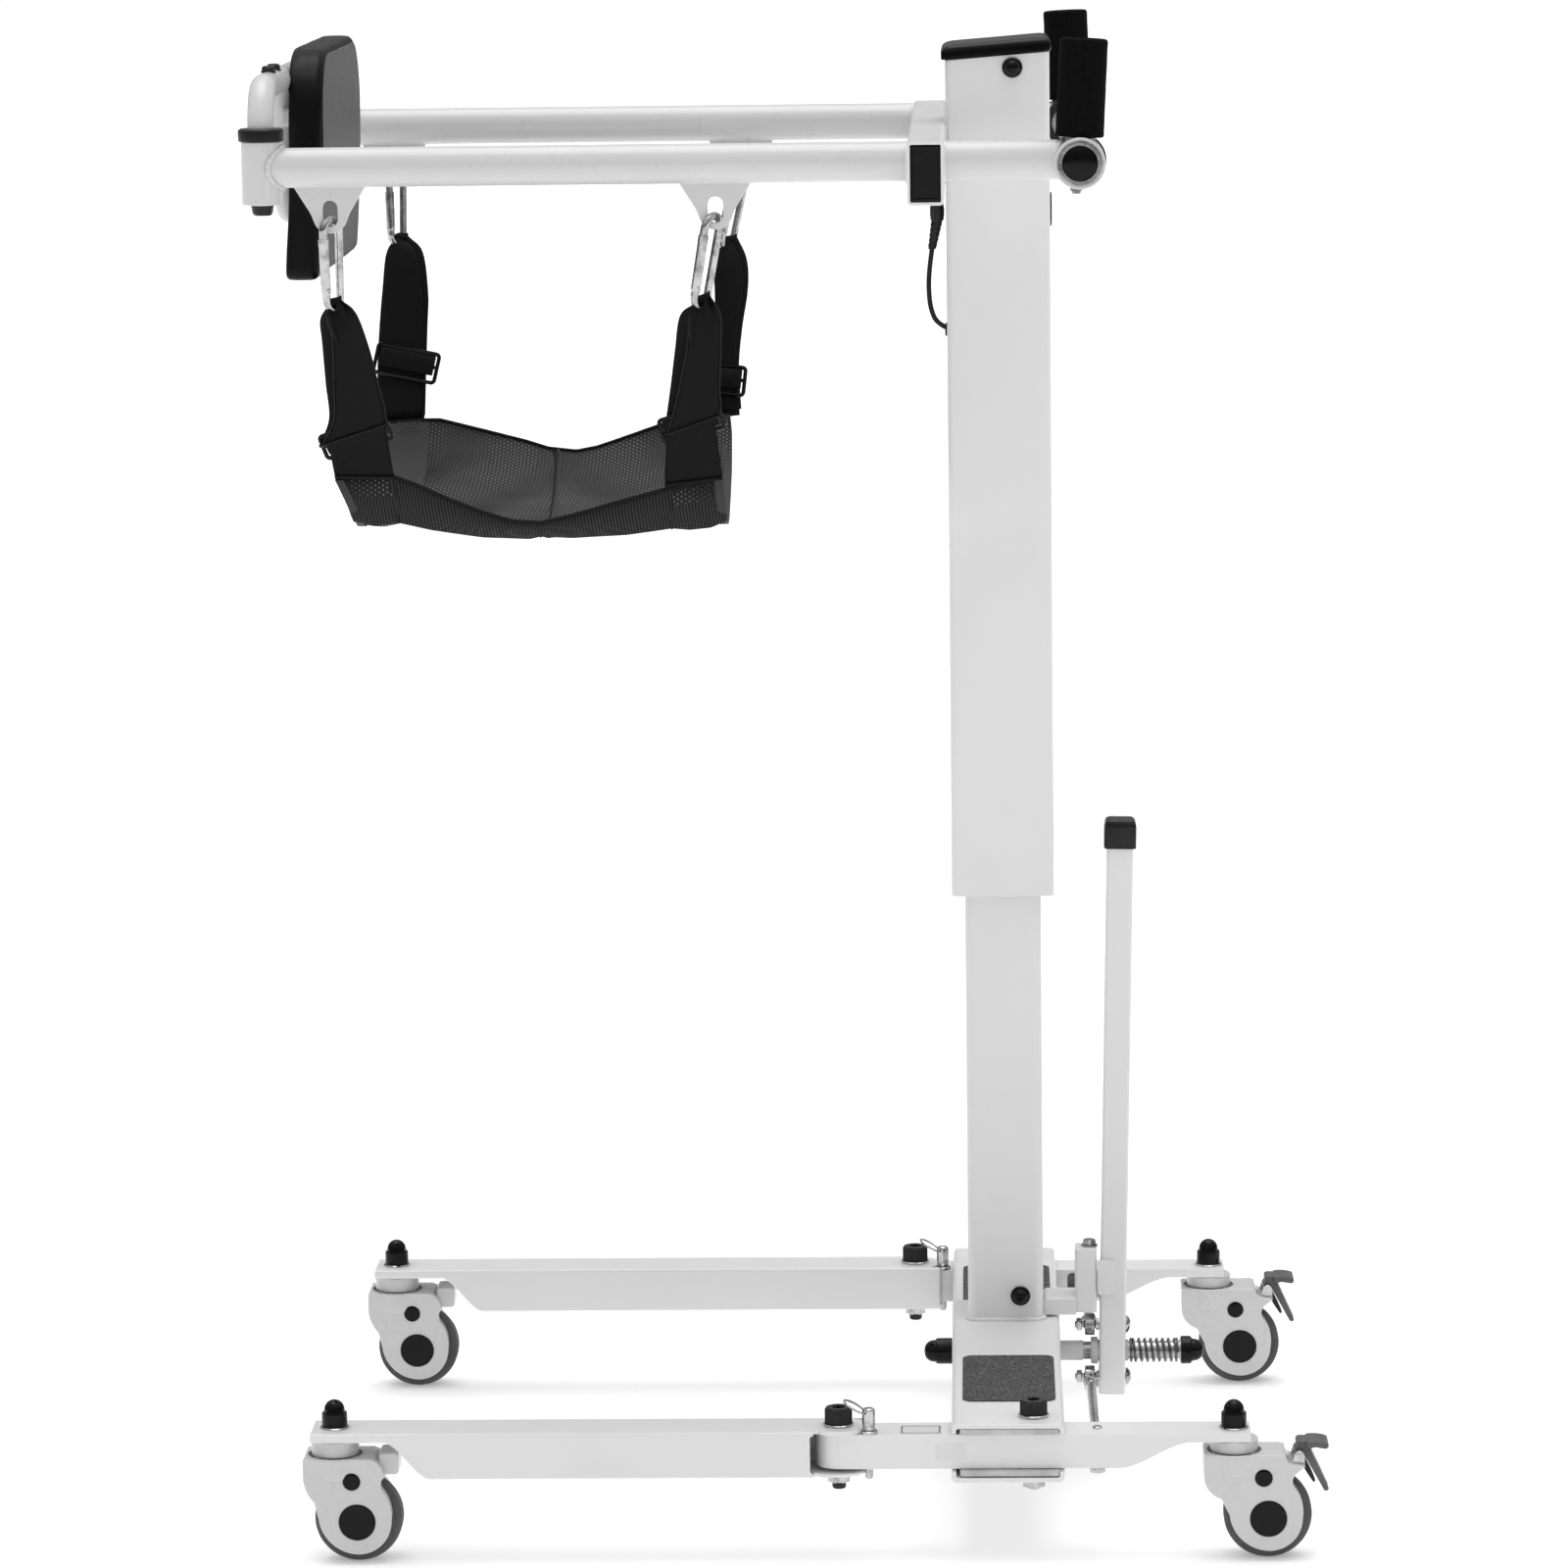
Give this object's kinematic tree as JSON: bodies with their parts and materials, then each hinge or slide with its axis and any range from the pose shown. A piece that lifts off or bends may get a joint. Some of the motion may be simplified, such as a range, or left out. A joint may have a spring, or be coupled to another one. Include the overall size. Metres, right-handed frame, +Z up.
{
  "type": "sit to stand lift",
  "caption": "Electric sit to stand lift: telescopic column on folding legs with swivel casters, arms with grips, a hinged back pad gate and a hanging sling seat.",
  "frame": {"origin": "on the floor, under the middle of the whole lift's box", "axes": "+Z up, +X towards the push handles and the rear casters, -Y the caregiver's left side"},
  "size_m": [0.9, 0.644, 1.286],
  "materials": {
    "white_paint": "gloss powder coat",
    "caster_shell": "satin",
    "black_plastic": "satin",
    "grip_rubber": "fine matt grain",
    "cable_rubber": "matt",
    "nylon": "satin",
    "zinc": "bright zinc",
    "spring_steel": "wire",
    "sling_fabric": "ribbed mesh",
    "webbing": "woven",
    "pad_fabric": "fine grain",
    "board": "black",
    "pedal_plastic": "satin",
    "tyre_rubber": "matt"
  },
  "bodies": {
    "base": {"base_crossbeam": "white_paint", "grip_pads": "grip_rubber", "column_inner_tube": "white_paint", "column_lower_bolt": "black_plastic", "leg_bearing_plates": "nylon", "leg_pivot_bolts": "zinc", "lever_gate": "white_paint", "actuator_body": "nylon", "lever_shaft": "zinc", "shaft_caps": "black_plastic", "lever_spring": "spring_steel", "inner_glides": "nylon"},
    "mast": {"column_outer_tube": "white_paint", "outer_glides": "nylon", "actuator_rod": "zinc", "mast_bolt": "black_plastic", "cross_tube": "white_paint", "tube_plugs": "black_plastic", "left_arm": "white_paint", "right_arm": "white_paint", "hanger_brackets": "white_paint", "handle_grips": "grip_rubber", "cable": "cable_rubber", "cable_fittings": "black_plastic", "sling_seat": "sling_fabric", "sling_straps": "webbing", "strap_buckles": "black_plastic", "carabiners": "zinc"},
    "pad_gate": {"gate_frame": "white_paint", "gate_fittings": "black_plastic", "pad_board": "board", "back_pad": "pad_fabric"},
    "lever_bush": {"lever_bush": "zinc"},
    "lever": {"lever_tube": "white_paint", "lever_cap": "black_plastic", "rod_bolts": "zinc"},
    "left_rod_ball": {"rod_ball_left": "zinc"},
    "right_rod_ball": {"rod_ball_right": "zinc"},
    "tie_rod_left": {"tie_rod_left": "zinc"},
    "tie_rod_right": {"tie_rod_right": "zinc"},
    "left_leg": {"left_rear_leg": "white_paint", "left_rear_bolts": "zinc"},
    "left_front_leg": {"left_front_leg": "white_paint", "left_front_bolts": "zinc"},
    "left_pin": {"left_quick_pin": "zinc"},
    "front_left_caster": {"front_left_housing": "caster_shell"},
    "front_left_wheel": {"front_left_wheel": "tyre_rubber"},
    "rear_left_caster": {"rear_left_housing": "caster_shell"},
    "rear_left_wheel": {"rear_left_wheel": "tyre_rubber"},
    "rear_left_brake": {"rear_left_brake": "pedal_plastic"},
    "right_leg": {"right_rear_leg": "white_paint", "right_rear_bolts": "zinc"},
    "right_front_leg": {"right_front_leg": "white_paint", "right_front_bolts": "zinc"},
    "right_pin": {"right_quick_pin": "zinc"},
    "front_right_caster": {"front_right_housing": "caster_shell"},
    "front_right_wheel": {"front_right_wheel": "tyre_rubber"},
    "rear_right_caster": {"rear_right_housing": "caster_shell"},
    "rear_right_wheel": {"rear_right_wheel": "tyre_rubber"},
    "rear_right_brake": {"rear_right_brake": "pedal_plastic"}
  },
  "joints": [
    {"name": "mast_lift", "type": "slide", "parent": "base", "child": "mast", "axis": [0, 0, 1], "range_m": [-0.3, 0.03]},
    {"name": "pad_gate_hinge", "type": "hinge", "parent": "mast", "child": "pad_gate", "pos_m": [-0.431, -0.295, 1.18], "axis": [0, 0, 1], "range_deg": [0, 90]},
    {"name": "left_leg_spread", "type": "hinge", "parent": "base", "child": "left_leg", "pos_m": [0.2, -0.295, 0.0965], "axis": [0, 0, 1], "range_deg": [0, 12.8]},
    {"name": "right_leg_spread", "type": "hinge", "parent": "base", "child": "right_leg", "pos_m": [0.2, 0.295, 0.0965], "axis": [0, 0, 1], "range_deg": [-12.9, 0]},
    {"name": "lever_pull", "type": "slide", "parent": "base", "child": "lever_bush", "axis": [1, 0, 0], "range_m": [0, 0.018], "stiffness_N_per_m": 900, "springref_m": -0.01, "deforming": ["lever_spring"]},
    {"name": "lever_swing", "type": "hinge", "parent": "lever_bush", "child": "lever", "pos_m": [0.273, 0, 0.104], "axis": [1, 0, 0], "range_deg": [0, 30]},
    {"name": "tie_rod_left_turn", "type": "hinge", "parent": "lever", "child": "left_rod_ball", "pos_m": [0.253, 0, 0.08], "axis": [1, 0, 0], "range_deg": [-30, 0]},
    {"name": "tie_rod_left_yaw", "type": "hinge", "parent": "left_rod_ball", "child": "tie_rod_left", "pos_m": [0.253, 0, 0.08], "axis": [0, 0, 1], "range_deg": [-3.6, 0]},
    {"name": "tie_rod_right_turn", "type": "hinge", "parent": "lever", "child": "right_rod_ball", "pos_m": [0.253, 0, 0.128], "axis": [1, 0, 0], "range_deg": [-30, 0]},
    {"name": "tie_rod_right_yaw", "type": "hinge", "parent": "right_rod_ball", "child": "tie_rod_right", "pos_m": [0.253, 0, 0.128], "axis": [0, 0, 1], "range_deg": [0, 3.6]},
    {"name": "left_leg_fold", "type": "hinge", "parent": "left_leg", "child": "left_front_leg", "pos_m": [0.034, -0.295, 0.095], "axis": [0, 0, 1], "range_deg": [0, 90]},
    {"name": "left_pin_pull", "type": "slide", "parent": "left_leg", "child": "left_pin", "axis": [0, 0, 1], "range_m": [0, 0.05]},
    {"name": "front_left_swivel", "type": "hinge", "parent": "left_front_leg", "child": "front_left_caster", "pos_m": [-0.396, -0.295, 0.09], "axis": [0, 0, 1], "continuous": true},
    {"name": "front_left_roll", "type": "hinge", "parent": "front_left_caster", "child": "front_left_wheel", "pos_m": [-0.3765, -0.295, 0.0375], "axis": [0, 1, 0], "continuous": true},
    {"name": "rear_left_swivel", "type": "hinge", "parent": "left_leg", "child": "rear_left_caster", "pos_m": [0.37, -0.295, 0.09], "axis": [0, 0, 1], "range_deg": [-130, 130]},
    {"name": "rear_left_roll", "type": "hinge", "parent": "rear_left_caster", "child": "rear_left_wheel", "pos_m": [0.3984, -0.295, 0.0375], "axis": [0, 1, 0], "continuous": true},
    {"name": "rear_left_brake_press", "type": "hinge", "parent": "rear_left_caster", "child": "rear_left_brake", "pos_m": [0.4249, -0.295, 0.09], "axis": [0, 1, 0], "range_deg": [0, 14]},
    {"name": "right_leg_fold", "type": "hinge", "parent": "right_leg", "child": "right_front_leg", "pos_m": [0.094, 0.295, 0.095], "axis": [0, 0, -1], "range_deg": [0, 90]},
    {"name": "right_pin_pull", "type": "slide", "parent": "right_leg", "child": "right_pin", "axis": [0, 0, 1], "range_m": [0, 0.05]},
    {"name": "front_right_swivel", "type": "hinge", "parent": "right_front_leg", "child": "front_right_caster", "pos_m": [-0.396, 0.295, 0.09], "axis": [0, 0, 1], "continuous": true},
    {"name": "front_right_roll", "type": "hinge", "parent": "front_right_caster", "child": "front_right_wheel", "pos_m": [-0.3765, 0.295, 0.0375], "axis": [0, 1, 0], "continuous": true},
    {"name": "rear_right_swivel", "type": "hinge", "parent": "right_leg", "child": "rear_right_caster", "pos_m": [0.37, 0.295, 0.09], "axis": [0, 0, 1], "range_deg": [-130, 130]},
    {"name": "rear_right_roll", "type": "hinge", "parent": "rear_right_caster", "child": "rear_right_wheel", "pos_m": [0.3984, 0.295, 0.0375], "axis": [0, 1, 0], "continuous": true},
    {"name": "rear_right_brake_press", "type": "hinge", "parent": "rear_right_caster", "child": "rear_right_brake", "pos_m": [0.4249, 0.295, 0.09], "axis": [0, 1, 0], "range_deg": [0, 14]}
  ],
  "couplings": [
    {"joint": "right_leg_spread", "follows": "left_leg_spread", "ratio": -1},
    {"joint": "lever_swing", "follows": "left_leg_spread", "ratio": 2.337},
    {"joint": "tie_rod_left_turn", "follows": "left_leg_spread", "ratio": -2.288},
    {"joint": "tie_rod_right_turn", "follows": "left_leg_spread", "ratio": -2.289},
    {"joint": "tie_rod_left_yaw", "follows": "lever_pull", "rad_per_m": -3.386},
    {"joint": "tie_rod_right_yaw", "follows": "lever_pull", "rad_per_m": 3.386}
  ]
}
